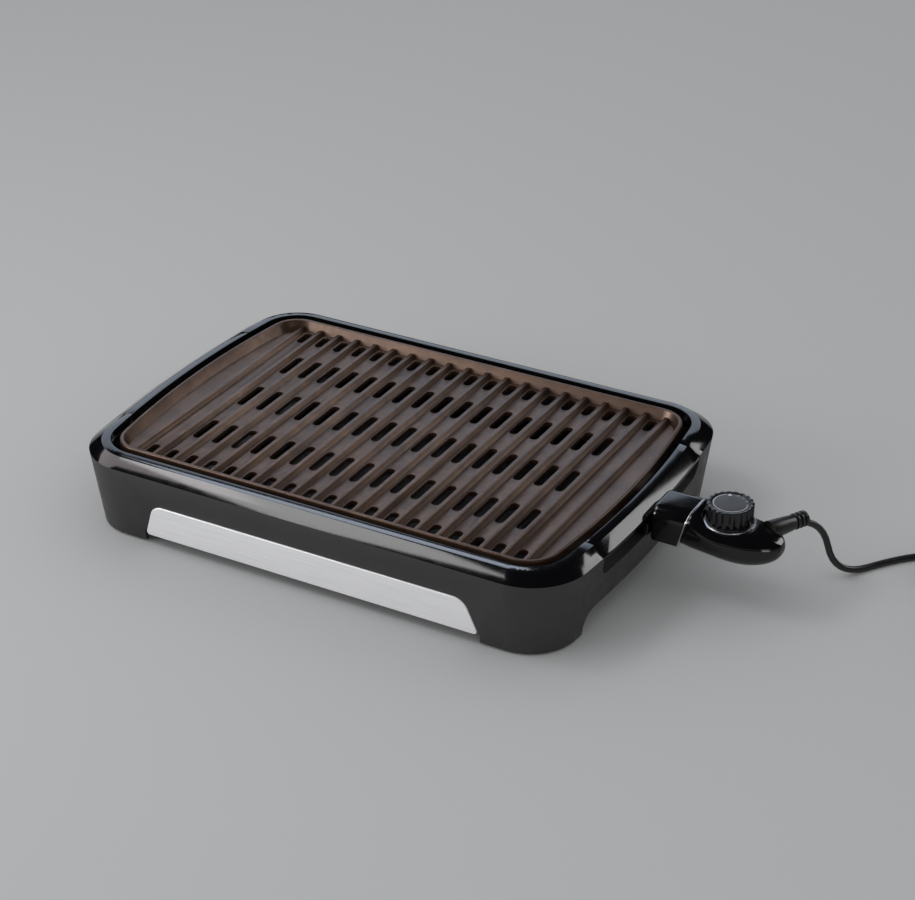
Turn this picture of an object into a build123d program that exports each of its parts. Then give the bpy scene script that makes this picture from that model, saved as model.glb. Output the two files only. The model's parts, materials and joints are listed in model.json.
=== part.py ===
"""Electric griddle: ribbed grill plate on a base with a drip tray, and a plug-in heat control.

Millimetres, +Z up, front towards -Y, heat control towards +X. The origin lies on the surface that
the griddle stands on, under the middle of the griddle and its heat control together.
"""
import os
from math import atan2, cos, degrees, pi, radians, sin, tan

from build123d import *

os.makedirs("parts", exist_ok=True)

# --- driving dimensions -------------------------------------------------------------------------
BASE_X = -56.2          # middle of the base, from the origin
CLEAR = 0.5             # running clearance between pieces that move apart
TOUCH = 0.1             # gap left between pieces that rest on each other
THROUGH = 60.0          # reach of walls and cuts that are trimmed by, or pass, the skirt

# plan of the body, at the crease that runs round the rim
CREASE_X = 225.0        # half length
CREASE_Y = 152.9        # half depth
BOW = 11.3              # how far the short sides swell
CORNER_R = 40.0

# rim and skirt, as outsets from the crease and heights
CREASE_Z = 74.0
RIM_Z = 75.0
RIM_IN = -7.25
SEAM_OUT = 10.0
SEAM_Z = 67.0
RIM_WALL = 2.4
SKIRT_FOOT_OUT = 1.8
SKIRT_Z = 2.0
SKIRT_WALL = 2.6

# handles and the finger recesses below them
HANDLE_HALF = CREASE_Y - 64.3
HANDLE_DEPTH = 2.6      # depth of a handle below the seam
RECESS_HALF = HANDLE_HALF + 2.4
RECESS_Z = 48.0
RECESS_X = CREASE_X - 11.0          # back wall of a recess
RECESS_TOP = 57.0
RECESS_R = 13.0
ARCH_HALF = HANDLE_HALF + 18.4
ARCH_Z = 22.0
ARCH_R = 14.0

# grill plate
PLATE_OUT = -14.2
PLATE_Z = 62.0          # underside
FLOOR_Z = 66.0
LIP_Z = 75.2
LIP_W = 3.0
LIP_SLOPE = 3.4
RIB_PITCH = 19.2
RIB_COUNT = int(2 * (CREASE_X + PLATE_OUT) / RIB_PITCH) - 1
RIB_H = 4.2
RIB_TOP = 3.4
RIB_FOOT = 7.2
SLOT_W = 8.0
END_Y = CREASE_Y - 33.4
END_L = 21.0
ROW_L = 34.0
MIDDLE_L = 37.0
ROW_Y = (END_Y - END_L / 2 + MIDDLE_L / 2 + 6.5) / 2
END_ROWS = ((-END_Y, END_L), (END_Y - 0.5, END_L - 1))      # middle and length of each short row
MAIN_ROWS = ((-ROW_Y, ROW_L), (1.5, MIDDLE_L), (ROW_Y, ROW_L))  # without the end columns

# heating element, terminals and feeler
ELEMENT_R = 3.2
TERMINAL_Y = 13.0
TERMINAL_R = 2.2
TERMINAL_END = RECESS_X + 16.0
FEELER_R = 2.6
FEELER_Z = 56.2
GUARD_HALF = 23.5
GUARD_WALL = 1.5
GUARD_X = (RECESS_X - 10.0, RECESS_X + 5.0)
GUARD_Z = 49.2

# heat control
NECK_X = CREASE_X + SEAM_OUT + 1.2
COLLAR_X = NECK_X + 27.8
COLLAR_W = 1.4
COLLAR_PROUD = 0.4
COLLAR_LEAN = 15.0      # degrees that the seam leans back towards its foot
NECK_HALF = 20.0
NECK_TOP = 77.0
NECK_LOW = 47.0
NECK_CORNERS = (11.0, 7.0)              # shoulders and lower edges
NECK_NOSE = 5.0
SPLIT_Z = 62.0
SHELL_WALL = 2.2
DIAL_X = COLLAR_X + 32.0
DIAL_R = 18.8
DIAL_SKIRT_R = DIAL_R + 2.2
DIAL_SEAT_Z = 69.8
DIAL_TOP = 87.0
BEZEL_H = 1.8
SHAFT_R = 3.0
SHELL_SCREWS = ((COLLAR_X + 6.4, -13.0), (COLLAR_X + 6.4, 13.0), (COLLAR_X + 58.0, 0.0))
SCREW_R = 2.6
SCREW_TOP = 57.0
SCREW_L = 10.0

# drip tray
TRAY_HALF = CREASE_X - 85.0
TRAY_BACK = CREASE_Y - 10.9
TRAY_Z = 10.8
TRAY_TOP = 33.0
TRAY_WALL = 1.2
TRAY_R = 14.0
TRAY_FLANGE = 3.5
PANEL_LOW = 7.0         # up the sloping front, from the skirt's edge
PANEL_HIGH = 39.0
PANEL_BOTTOM_HALF = TRAY_HALF + 16.5
PANEL_TOP_HALF = TRAY_HALF + 5.0
PANEL_T = 2.4
PANEL_PROUD = 0.7

# posts, feet and the ledges that the funnel rests on
LEDGE = (20.0, 20.0, 4.0)
POST_WEB = (50.0, 48.0)                 # length and height
FOOT_SEAT_T = 4.0
FOOT_WEB_L = 50.0
POST_X = CREASE_X - 28.0
POST_Y = CREASE_Y - 46.9
POST_R = 6.0
PAD_H = 2.0
FOOT_X = CREASE_X - 37.0
FOOT_Y = CREASE_Y - 24.9
FOOT_R = 8.0
FOOT_H = 4.5
FUNNEL_Z = 49.8         # flange of the drip funnel

# lead
CORD_D = 5.6
COIL_R = 33.0
COIL_HALF_W = 6.0
COIL_H = 16.0
PLUG_R = 18.5
PIN_R = 2.4
PIN_L = 19.0
PIN_SPACING = 19.0
BOOT_START = (COLLAR_X + 62.0, 8.0, 66.0)
BOOT_L = 42.0
BOOT_R = (8.0, 4.5)
BOOT_RING = (6.6, 1.8)                  # radius and width of each ring near its end
BOOT_HEADING = 67.0     # of the lead where it leaves, from +X
BOOT_DROOP = 4.5
CORD_START = 20.0       # along the strain relief
CORD_ROUTE = ((COLLAR_X + 85.4, 63.2, 59.0), (COLLAR_X + 100.0, 65.0, 2.8),
              (COLLAR_X + 138.0, 122.0, 2.8), (COLLAR_X + 183.7, 151.0, 2.8))
COIL_CENTRE = (COLLAR_X + 200.7, 122.7)


# --- placing ------------------------------------------------------------------------------------
def at(x, y, z=0.0):
    """Location of a point given from the middle of the base."""
    return Location((BASE_X + x, y, z))


def level(z):
    """Horizontal plane over the middle of the base."""
    return Plane((BASE_X, 0, z))


def facing_x(x, side=1):
    """Upright plane at x from the base's middle that looks along +X, or -X for side -1."""
    return Plane(origin=(BASE_X + side * x, 0, 0), x_dir=(0, side, 0), z_dir=(side, 0, 0))


# --- shapes that several pieces share -----------------------------------------------------------
def outline(outset):
    """Plan of the body, grown from the crease by the outset."""
    half_x, half_y = CREASE_X + outset, CREASE_Y + outset
    end_x = half_x - BOW
    with BuildSketch() as plan:
        with BuildLine():
            Line((-end_x, -half_y), (end_x, -half_y))
            ThreePointArc((end_x, -half_y), (half_x, 0), (end_x, half_y))
            Line((end_x, half_y), (-end_x, half_y))
            ThreePointArc((-end_x, half_y), (-half_x, 0), (-end_x, -half_y))
        make_face()
        fillet(plan.vertices(), CORNER_R + outset)
    return plan.sketch


def tier(*levels):
    """Solid through outlines, each given as (outset, height), lowest first."""
    with BuildPart() as block:
        for low, high in zip(levels, levels[1:]):
            with BuildSketch(level(low[1])):
                add(outline(low[0]))
            with BuildSketch(level(high[1])):
                add(outline(high[0]))
            loft(ruled=True)
    return block.part


def rounded_slab(half_width, low, high, corner, top=False):
    """Upright profile between two heights, its lower or upper corners rounded."""
    with BuildSketch() as profile:
        with Locations((0, (low + high) / 2)):
            Rectangle(2 * half_width, high - low)
        group = profile.vertices().group_by(Axis.Y)[-1 if top else 0]
        fillet(group, corner)
    return profile.sketch


SKIRT_TIERS = ((SKIRT_FOOT_OUT, SKIRT_Z), (SEAM_OUT, SEAM_Z))
LEAN = atan2(SEAM_OUT - SKIRT_FOOT_OUT, SEAM_Z - SKIRT_Z)
front_slope = Plane(origin=(BASE_X, -(CREASE_Y + SKIRT_FOOT_OUT), SKIRT_Z), x_dir=(1, 0, 0),
                    z_dir=(0, -cos(LEAN), -sin(LEAN)))


def panel_outline(grown=0.0):
    """Trapezium of the tray's front, on the sloping front of the base."""
    with BuildSketch() as shape:
        Polygon((-PANEL_BOTTOM_HALF, PANEL_LOW), (PANEL_BOTTOM_HALF, PANEL_LOW),
                (PANEL_TOP_HALF, PANEL_HIGH), (-PANEL_TOP_HALF, PANEL_HIGH), align=None)
        fillet(shape.vertices().group_by(Axis.Y)[-1], 13)
        fillet(shape.vertices().group_by(Axis.Y)[0], 3)
        if grown:
            offset(amount=grown)
    return shape.sketch


# --- base ---------------------------------------------------------------------------------------
# Walls of the finger recesses, webs of the posts and ledges, trimmed to the skirt's outside
with BuildPart() as inner_walls:
    for side in (-1, 1):
        with BuildSketch(facing_x(RECESS_X - SKIRT_WALL, side)):
            add(rounded_slab(RECESS_HALF + SKIRT_WALL, RECESS_Z - SKIRT_WALL, SEAM_Z, RECESS_R))
        extrude(amount=THROUGH)
        for end in (-1, 1):
            with Locations(at(side * POST_X, end * POST_Y, SKIRT_Z + 2)):
                Cylinder(POST_R, PLATE_Z - PAD_H - SKIRT_Z - 2,
                         align=(Align.CENTER, Align.CENTER, Align.MIN))
            with Locations(at(side * (POST_X + POST_WEB[0] / 2), end * POST_Y, SKIRT_Z + 2)):
                Box(POST_WEB[0], SKIRT_WALL, POST_WEB[1], align=(Align.CENTER, Align.CENTER, Align.MIN))
            with Locations(at(side * FOOT_X, end * FOOT_Y, FOOT_H)):
                Cylinder(FOOT_R + 2, FOOT_SEAT_T, align=(Align.CENTER, Align.CENTER, Align.MIN))
            with Locations(at(side * FOOT_X, end * (FOOT_Y + FOOT_WEB_L / 2), FOOT_H)):
                Box(2 * FOOT_R, FOOT_WEB_L, FOOT_SEAT_T, align=(Align.CENTER, Align.CENTER, Align.MIN))
            with Locations(at(side * (TRAY_HALF - 20), end * (CREASE_Y + 7), FUNNEL_Z)):
                Box(*LEDGE, align=(Align.CENTER, Align.CENTER, Align.MAX))
    add(tier(*SKIRT_TIERS), mode=Mode.INTERSECT)

with BuildPart() as base_skirt:
    add(tier(*SKIRT_TIERS))
    add(tier((SKIRT_FOOT_OUT - SKIRT_WALL, SKIRT_Z), (SEAM_OUT - SKIRT_WALL, SEAM_Z)),
        mode=Mode.SUBTRACT)
    add(inner_walls.part)
    for side in (-1, 1):
        with BuildSketch(facing_x(RECESS_X, side)):
            add(rounded_slab(RECESS_HALF, RECESS_Z, SEAM_Z + 1, RECESS_R - SKIRT_WALL))
        extrude(amount=THROUGH, mode=Mode.SUBTRACT)
        with Locations(at(side * (RECESS_X - 10), 0, RECESS_TOP)):
            Box(40, 2 * RECESS_HALF, 20, align=(Align.CENTER, Align.CENTER, Align.MIN),
                mode=Mode.SUBTRACT)
        with BuildSketch(facing_x(RECESS_X - THROUGH, side)):
            add(rounded_slab(ARCH_HALF, SKIRT_Z - 5, ARCH_Z, ARCH_R, top=True))
        extrude(amount=2 * THROUGH, mode=Mode.SUBTRACT)
    with Locations(at(RECESS_X, 0, GUARD_Z - 1.2)):
        Box(30, 2 * (GUARD_HALF + 2), 20, align=(Align.CENTER, Align.CENTER, Align.MIN),
            mode=Mode.SUBTRACT)
    with BuildSketch(front_slope):
        add(panel_outline(CLEAR))
        with Locations((0, PANEL_LOW + 4)):
            Rectangle(2 * (PANEL_BOTTOM_HALF + 1), 20, align=(Align.CENTER, Align.MAX))
    extrude(amount=8, both=True, mode=Mode.SUBTRACT)
base_skirt.part.label = "base_skirt"
export_step(base_skirt.part, "parts/base_skirt.step")

# Gloss rim: a thin shell over the skirt's edge, open where the handles fill it
with BuildPart() as rim:
    add(tier((SEAM_OUT, SEAM_Z), (0, CREASE_Z), (RIM_IN, RIM_Z)))
    add(tier((SEAM_OUT - RIM_WALL, SEAM_Z), (-1, CREASE_Z - RIM_WALL), (RIM_IN, RIM_Z - RIM_WALL)),
        mode=Mode.SUBTRACT)
    add(tier((RIM_IN + RIM_WALL, SEAM_Z), (RIM_IN + RIM_WALL, RIM_Z - RIM_WALL)))
    add(tier((RIM_IN, SEAM_Z - 1), (RIM_IN, RIM_Z + 1)), mode=Mode.SUBTRACT)
    with Locations(at(0, 0, SEAM_Z)):
        Box(2 * CREASE_X + 60, 2 * (HANDLE_HALF + 0.8), 40, mode=Mode.SUBTRACT)
rim.part.label = "rim"
export_step(rim.part, "parts/rim.step")

# Funnel that leads the fat from the whole plate to the narrower tray
FUNNEL_TOP = (CREASE_X - 41.0, CREASE_Y - 19.9)
FUNNEL_LOW = (TRAY_HALF - 6.0, CREASE_Y - 26.9)
FUNNEL_FLANGE = (CREASE_X - 22.0, CREASE_Y + 2.1)
FUNNEL_LOW_Z = 37.0
FUNNEL_T = 1.2
FUNNEL_R = (20.0, 30.0)                 # corners of the throat and of the flange
with BuildPart() as drip_funnel:
    for inset, mode in ((0, Mode.ADD), (FUNNEL_T, Mode.SUBTRACT)):
        with BuildSketch(level(FUNNEL_LOW_Z)):
            RectangleRounded(2 * (FUNNEL_LOW[0] - inset), 2 * (FUNNEL_LOW[1] - inset), FUNNEL_R[0])
        with BuildSketch(level(FUNNEL_Z)):
            RectangleRounded(2 * (FUNNEL_TOP[0] - inset), 2 * (FUNNEL_TOP[1] - inset), FUNNEL_R[0])
        loft(mode=mode)
    with BuildSketch(level(FUNNEL_Z)):
        RectangleRounded(2 * FUNNEL_FLANGE[0], 2 * FUNNEL_FLANGE[1], FUNNEL_R[1])
        RectangleRounded(2 * (FUNNEL_TOP[0] - FUNNEL_T), 2 * (FUNNEL_TOP[1] - FUNNEL_T), FUNNEL_R[0],
                         mode=Mode.SUBTRACT)
        with GridLocations(2 * POST_X, 2 * POST_Y, 2, 2):
            Circle(POST_R + 1, mode=Mode.SUBTRACT)
            Rectangle(2 * POST_R + 30, 4, mode=Mode.SUBTRACT)
    extrude(amount=FUNNEL_T)
drip_funnel.part.label = "drip_funnel"
export_step(drip_funnel.part, "parts/drip_funnel.step")

# Rails under the tray's edges, held by the back of the skirt
RAIL_Z = TRAY_TOP - TRAY_WALL - CLEAR
RAIL_Y = (6.9 - CREASE_Y, CREASE_Y + 2.6)
for side, name in ((-1, "tray_rail_left"), (1, "tray_rail_right")):
    with BuildPart() as tray_rail:
        with BuildSketch(Plane(origin=(BASE_X, RAIL_Y[1], 0), x_dir=(-1, 0, 0), z_dir=(0, 1, 0))):
            with Locations((-side * (TRAY_HALF + 5.5), RAIL_Z - 1)):
                Rectangle(9, 2)
            with Locations((-side * (TRAY_HALF + 9), RAIL_Z + 1.5)):
                Rectangle(2, 7)
        extrude(amount=RAIL_Y[0] - RAIL_Y[1])
    tray_rail.part.label = name
    export_step(tray_rail.part, f"parts/{name}.step")

# Four silicone pads on the posts carry the plate
with BuildPart() as plate_pads:
    with Locations(level(PLATE_Z - PAD_H)):
        with GridLocations(2 * POST_X, 2 * POST_Y, 2, 2):
            Cylinder(POST_R, PAD_H - 0.05, align=(Align.CENTER, Align.CENTER, Align.MIN))
plate_pads.part.label = "plate_pads"
export_step(plate_pads.part, "parts/plate_pads.step")

with BuildPart() as rubber_feet:
    with Locations(level(0)):
        with GridLocations(2 * FOOT_X, 2 * FOOT_Y, 2, 2):
            Cylinder(FOOT_R, FOOT_H, align=(Align.CENTER, Align.CENTER, Align.MIN))
    chamfer(rubber_feet.faces().group_by(Axis.Z)[0].edges(), 1)
rubber_feet.part.label = "rubber_feet"
export_step(rubber_feet.part, "parts/rubber_feet.step")

# --- grill plate --------------------------------------------------------------------------------
with BuildPart() as grill_plate:
    add(tier((PLATE_OUT - 1.5, PLATE_Z), (PLATE_OUT, FLOOR_Z), (PLATE_OUT, LIP_Z)))
    add(tier((PLATE_OUT - LIP_W - LIP_SLOPE, FLOOR_Z), (PLATE_OUT - LIP_W, LIP_Z)),
        mode=Mode.SUBTRACT)
    rib_reach = CREASE_Y + PLATE_OUT - LIP_W - LIP_SLOPE
    with BuildSketch(Plane(origin=(BASE_X, rib_reach, 0), x_dir=(-1, 0, 0), z_dir=(0, 1, 0))):
        with Locations((0, FLOOR_Z - 0.5)):
            with GridLocations(RIB_PITCH, 0, RIB_COUNT, 1):
                Polygon((-RIB_FOOT / 2, 0), (RIB_FOOT / 2, 0), (RIB_TOP / 2, RIB_H + 0.5),
                        (-RIB_TOP / 2, RIB_H + 0.5), align=None)
    extrude(amount=-2 * rib_reach)
    with BuildSketch(level(PLATE_Z - 1)):
        for rows, columns in ((END_ROWS, RIB_COUNT - 1), (MAIN_ROWS, RIB_COUNT - 3)):
            for middle, length in rows:
                with Locations((0, middle)):
                    with GridLocations(RIB_PITCH, 0, columns, 1):
                        SlotOverall(length, SLOT_W, rotation=90)
    extrude(amount=FLOOR_Z - PLATE_Z + 2, mode=Mode.SUBTRACT)
    lip_edges = grill_plate.edges().filter_by_position(Axis.Z, LIP_Z - 0.01, LIP_Z + 0.01)
    fillet(lip_edges, LIP_W * 0.4)
grill_plate.part.label = "grill_plate"
export_step(grill_plate.part, "parts/grill_plate.step")

# Element: one tube in the solid bands between the rows of slots
BAND_Y = ((END_Y - END_L / 2 + ROW_Y + ROW_L / 2) / 2, (ROW_Y - ROW_L / 2 + MIDDLE_L / 2 + 0.5) / 2)
LEFT_X = -RIB_PITCH * (RIB_COUNT - 2) / 2
LINK_X = RIB_PITCH * (RIB_COUNT - 3) / 2
RIGHT_X = RECESS_X - 30
CLAMP_PITCH = LINK_X - 43.2
ELEMENT_Z = PLATE_Z - ELEMENT_R - TOUCH
TERMINAL_Z = ELEMENT_Z - ELEMENT_R + TERMINAL_R
half_route = ((GUARD_X[0], TERMINAL_Y), (RIGHT_X, TERMINAL_Y), (RIGHT_X, BAND_Y[0]),
              (LEFT_X, BAND_Y[0]), (LEFT_X, BAND_Y[1]), (LINK_X, BAND_Y[1]))
element_route = half_route + tuple((x, -y) for x, y in reversed(half_route))
with BuildPart() as heating_element:
    with BuildLine() as element_line:
        FilletPolyline(*[(BASE_X + x, y, ELEMENT_Z) for x, y in element_route], radius=9)
    with BuildSketch(Plane(element_line.line @ 0, z_dir=element_line.line % 0)):
        Circle(ELEMENT_R)
    sweep()
heating_element.part.label = "heating_element"
export_step(heating_element.part, "parts/heating_element.step")

# Clamps that hold the element up against the plate, each a channel open to the plate
CLAMP = (9.0, 16.0)
CLAMP_T = 1.4
with BuildPart() as element_clamps:
    for x in (-CLAMP_PITCH, 0, CLAMP_PITCH):
        for y in BAND_Y:
            for end in (-1, 1):
                with Locations(at(x + RIB_PITCH / 2, end * y, ELEMENT_Z - ELEMENT_R - CLAMP_T)):
                    Box(*CLAMP, PLATE_Z - ELEMENT_Z + ELEMENT_R + CLAMP_T - TOUCH / 2,
                        align=(Align.CENTER, Align.CENTER, Align.MIN))
    for y in BAND_Y:
        for end in (-1, 1):
            with BuildSketch(facing_x(-RIGHT_X)):
                with Locations((end * y, ELEMENT_Z + 2 * ELEMENT_R)):
                    SlotOverall(6 * ELEMENT_R + TOUCH, 2 * ELEMENT_R + TOUCH, rotation=90)
            extrude(amount=2 * RIGHT_X, mode=Mode.SUBTRACT)
element_clamps.part.label = "element_clamps"
export_step(element_clamps.part, "parts/element_clamps.step")

# Guard round the terminals, open towards the heat control
guard_depth = GUARD_X[1] - GUARD_X[0]
guard_height = PLATE_Z - 0.05 - GUARD_Z
with BuildPart() as terminal_guard:
    with Locations(at(sum(GUARD_X) / 2, 0, GUARD_Z)):
        Box(guard_depth, 2 * GUARD_HALF, guard_height,
            align=(Align.CENTER, Align.CENTER, Align.MIN))
    with Locations(at(GUARD_X[1], 0, GUARD_Z + GUARD_WALL)):
        Box(2 * (guard_depth - 2), 2 * (GUARD_HALF - GUARD_WALL), guard_height,
            align=(Align.CENTER, Align.CENTER, Align.MIN), mode=Mode.SUBTRACT)
    with Locations(*[at(GUARD_X[0], y, TERMINAL_Z) * Rot(Y=90) for y in (-TERMINAL_Y, TERMINAL_Y)]):
        Cylinder(TERMINAL_R, 10, mode=Mode.SUBTRACT)
    with Locations(at(GUARD_X[0], 0, FEELER_Z) * Rot(Y=90)):
        Cylinder(FEELER_R + 0.7, 10, mode=Mode.SUBTRACT)
terminal_guard.part.label = "terminal_guard"
export_step(terminal_guard.part, "parts/terminal_guard.step")

with BuildPart() as terminal_pins:
    for y in (-TERMINAL_Y, TERMINAL_Y):
        with BuildSketch(facing_x(GUARD_X[0])):
            with Locations((y, TERMINAL_Z)):
                Circle(TERMINAL_R)
        extrude(amount=TERMINAL_END - GUARD_X[0])
    chamfer(terminal_pins.faces().group_by(Axis.X)[-1].edges(), 0.8)
terminal_pins.part.label = "terminal_pins"
export_step(terminal_pins.part, "parts/terminal_pins.step")

# Sleeve under the plate that the feeler slides into
SLEEVE_X = (LINK_X + 4.8, GUARD_X[0])
with BuildPart() as feeler_sleeve:
    with BuildSketch(facing_x(SLEEVE_X[0])):
        with Locations((0, FEELER_Z)):
            Circle(FEELER_R + 2.2)
        with Locations((0, (PLATE_Z + FEELER_Z) / 2)):
            Rectangle(5, PLATE_Z - FEELER_Z - TOUCH)
        with Locations((0, FEELER_Z)):
            Circle(FEELER_R + 0.7, mode=Mode.SUBTRACT)
    extrude(amount=SLEEVE_X[1] - SLEEVE_X[0])
feeler_sleeve.part.label = "feeler_sleeve"
export_step(feeler_sleeve.part, "parts/feeler_sleeve.step")

# Handles: the rim's own profile, on straps that run in under the plate
STRAP_Y = HANDLE_HALF - 28.6
STRAP_W = 16.0
STRAP_T = 1.5
HANDLE_Z = SEAM_Z - HANDLE_DEPTH
HANDLE_SCREW = (3.6, 1.8)                # radius and height of a head
STRAP_PROFILE = ((-24, PLATE_Z), (-3, PLATE_Z), (0, HANDLE_Z), (12, HANDLE_Z),
                 (12, HANDLE_Z - STRAP_T), (1, HANDLE_Z - STRAP_T), (-2, PLATE_Z - STRAP_T),
                 (-24, PLATE_Z - STRAP_T))
for side, word in ((-1, "left"), (1, "right")):
    with BuildPart() as handle:
        add(tier((SEAM_OUT, HANDLE_Z), (SEAM_OUT, SEAM_Z), (0, CREASE_Z), (RIM_IN, RIM_Z)))
        add(tier((RIM_IN, HANDLE_Z - 1), (RIM_IN, RIM_Z + 1)), mode=Mode.SUBTRACT)
        with Locations(at(side * CREASE_X, 0, SEAM_Z)):
            Box(80, 2 * HANDLE_HALF, 40, mode=Mode.INTERSECT)
    handle.part.label = f"handle_{word}"
    export_step(handle.part, f"parts/handle_{word}.step")

    with BuildPart() as handle_straps:
        for end in (-1, 1):
            with BuildSketch(Plane(origin=(BASE_X, end * STRAP_Y, 0), x_dir=(side, 0, 0),
                                   z_dir=(0, -side, 0))):
                with BuildLine():
                    Polyline(*[(RECESS_X + x, z - TOUCH) for x, z in STRAP_PROFILE], close=True)
                make_face()
            extrude(amount=STRAP_W / 2, both=True)
    handle_straps.part.label = f"handle_straps_{word}"
    export_step(handle_straps.part, f"parts/handle_straps_{word}.step")

    with BuildPart() as handle_screws:
        for end in (-1, 1):
            for x, seat in ((RECESS_X - 18, PLATE_Z), (RECESS_X + 7, HANDLE_Z)):
                with Locations(at(side * x, end * STRAP_Y, seat - 0.15 - STRAP_T)):
                    Cylinder(*HANDLE_SCREW, align=(Align.CENTER, Align.CENTER, Align.MAX))
    handle_screws.part.label = f"handle_screws_{word}"
    export_step(handle_screws.part, f"parts/handle_screws_{word}.step")

# --- heat control -------------------------------------------------------------------------------
def seam_plane(x):
    """Plane of the seam between neck and body, which leans back towards its foot."""
    lean = radians(COLLAR_LEAN)
    return Plane(origin=(BASE_X + x, 0, SPLIT_Z), x_dir=(0, 1, 0), z_dir=(cos(lean), 0, -sin(lean)))


def neck_outline(grown=0.0):
    """Upright section of the neck, with its shoulders and lower edges rounded."""
    with BuildSketch() as profile:
        with Locations((0, (NECK_LOW + NECK_TOP) / 2)):
            Rectangle(2 * (NECK_HALF + grown), NECK_TOP - NECK_LOW + 2 * grown)
        low, high = profile.vertices().group_by(Axis.Y)
        fillet(high, NECK_CORNERS[0])
        fillet(low, NECK_CORNERS[1])
    return profile.sketch


# Neck: upright section with a rounded nose, and a tongue that carries the sockets
LEAN_ROOM = 10.0                        # how far the leaning seam can be from its middle
TONGUE_X = GUARD_X[0] + 4.0
TONGUE_HALF = GUARD_HALF - GUARD_WALL - CLEAR
TONGUE_LOW = GUARD_Z + GUARD_WALL + CLEAR
TONGUE_TOP = PLATE_Z - CLEAR
with BuildPart() as probe_neck:
    with BuildSketch(facing_x(NECK_X)):
        add(neck_outline())
    extrude(amount=COLLAR_X - NECK_X + LEAN_ROOM)
    fillet(probe_neck.faces().sort_by(Axis.X)[0].edges(), NECK_NOSE)
    split(bisect_by=seam_plane(COLLAR_X), keep=Keep.BOTTOM)
    with BuildSketch(facing_x(TONGUE_X)):
        with Locations((0, (TONGUE_LOW + TONGUE_TOP) / 2)):
            Rectangle(2 * TONGUE_HALF, TONGUE_TOP - TONGUE_LOW)
    extrude(amount=NECK_X - TONGUE_X)
    with BuildSketch(facing_x(TONGUE_X - 1)):
        with Locations((-TERMINAL_Y, TERMINAL_Z), (TERMINAL_Y, TERMINAL_Z)):
            Circle(TERMINAL_R + 0.4)
        with Locations((0, FEELER_Z)):
            Circle(FEELER_R)
    extrude(amount=TERMINAL_END + 2 - TONGUE_X, mode=Mode.SUBTRACT)
probe_neck.part.label = "probe_neck"
export_step(probe_neck.part, "parts/probe_neck.step")

with BuildPart() as feeler_rod:
    with BuildSketch(facing_x(SLEEVE_X[0] + 2)):
        with Locations((0, FEELER_Z)):
            Circle(FEELER_R)
    extrude(amount=TERMINAL_END + 1 - SLEEVE_X[0] - 2)
    fillet(feeler_rod.faces().sort_by(Axis.X)[0].edges(), 1.8)
feeler_rod.part.label = "feeler_rod"
export_step(feeler_rod.part, "parts/feeler_rod.step")

BODY_X = COLLAR_X + COLLAR_W
with BuildPart() as probe_collar:
    with BuildSketch(facing_x(COLLAR_X - LEAN_ROOM)):
        add(neck_outline(COLLAR_PROUD))
    extrude(amount=2 * LEAN_ROOM + COLLAR_W)
    split(bisect_by=seam_plane(COLLAR_X), keep=Keep.TOP)
    split(bisect_by=seam_plane(BODY_X), keep=Keep.BOTTOM)
probe_collar.part.label = "probe_collar"
export_step(probe_collar.part, "parts/probe_collar.step")

# Body sections: distance past the collar, half width, lowest and highest point, corner radius
BODY_SECTIONS = ((0, NECK_HALF + 0.2, NECK_LOW - 0.8, NECK_TOP + 0.6, 10.8),
                 (14.4, DIAL_SKIRT_R + 1.4, 44.8, 74.2, 12), (32, DIAL_SKIRT_R + 2.8, 43.6, 71.0, 12.5),
                 (50, DIAL_SKIRT_R + 1.2, 43.2, 70.2, 12), (64, DIAL_SKIRT_R - 3.6, 45.6, 68.2, 10),
                 (73, 10.8, 49.8, 65.0, 6.8), (76.4, 4.6, 54.2, 61.4, 3.3))


def egg(inset):
    """Closed shape of the control's body, shrunk by the inset."""
    with BuildPart() as shape:
        for run, half_width, low, high, corner in BODY_SECTIONS[:-1] if inset else BODY_SECTIONS:
            place = facing_x(BODY_X + run) if run else seam_plane(BODY_X + inset)
            middle = (low + high) / 2 - (0 if run else SPLIT_Z)
            with BuildSketch(place):
                with Locations((0, middle)):
                    RectangleRounded(2 * (half_width - inset), high - low - 2 * inset,
                                     corner - 0.8 * inset)
        loft()
        split(bisect_by=seam_plane(BODY_X + inset), keep=Keep.TOP)
    return shape.part


def boot_cone():
    """Taper of the strain relief, without its bore."""
    with BuildPart() as cone:
        for run, radius in zip((0, BOOT_L), BOOT_R):
            with BuildSketch(boot_plane.offset(run)):
                Circle(radius)
        loft()
    return cone.part


heading, droop = radians(BOOT_HEADING), radians(BOOT_DROOP)
boot_plane = Plane(origin=at(*BOOT_START).position,
                   z_dir=(cos(heading) * cos(droop), sin(heading) * cos(droop), -sin(droop)))

for name, keep in (("probe_lower_shell", Keep.BOTTOM), ("probe_upper_shell", Keep.TOP)):
    with BuildPart() as shell:
        add(egg(0))
        add(egg(SHELL_WALL), mode=Mode.SUBTRACT)
        with Locations(at(DIAL_X, 0, DIAL_SEAT_Z)):
            Cylinder(DIAL_SKIRT_R + 0.4, 20, align=(Align.CENTER, Align.CENTER, Align.MIN),
                     mode=Mode.SUBTRACT)
            Cylinder(SHAFT_R + CLEAR, 20, mode=Mode.SUBTRACT)
        add(boot_cone(), mode=Mode.SUBTRACT)
        with Locations(*[at(x, y, SCREW_TOP) for x, y in SHELL_SCREWS]):
            Cylinder(SCREW_R, 30, align=(Align.CENTER, Align.CENTER, Align.MAX),
                     mode=Mode.SUBTRACT)
        split(bisect_by=Plane.XY.offset(SPLIT_Z), keep=keep)
    shell.part.label = name
    export_step(shell.part, f"parts/{name}.step")

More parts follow.
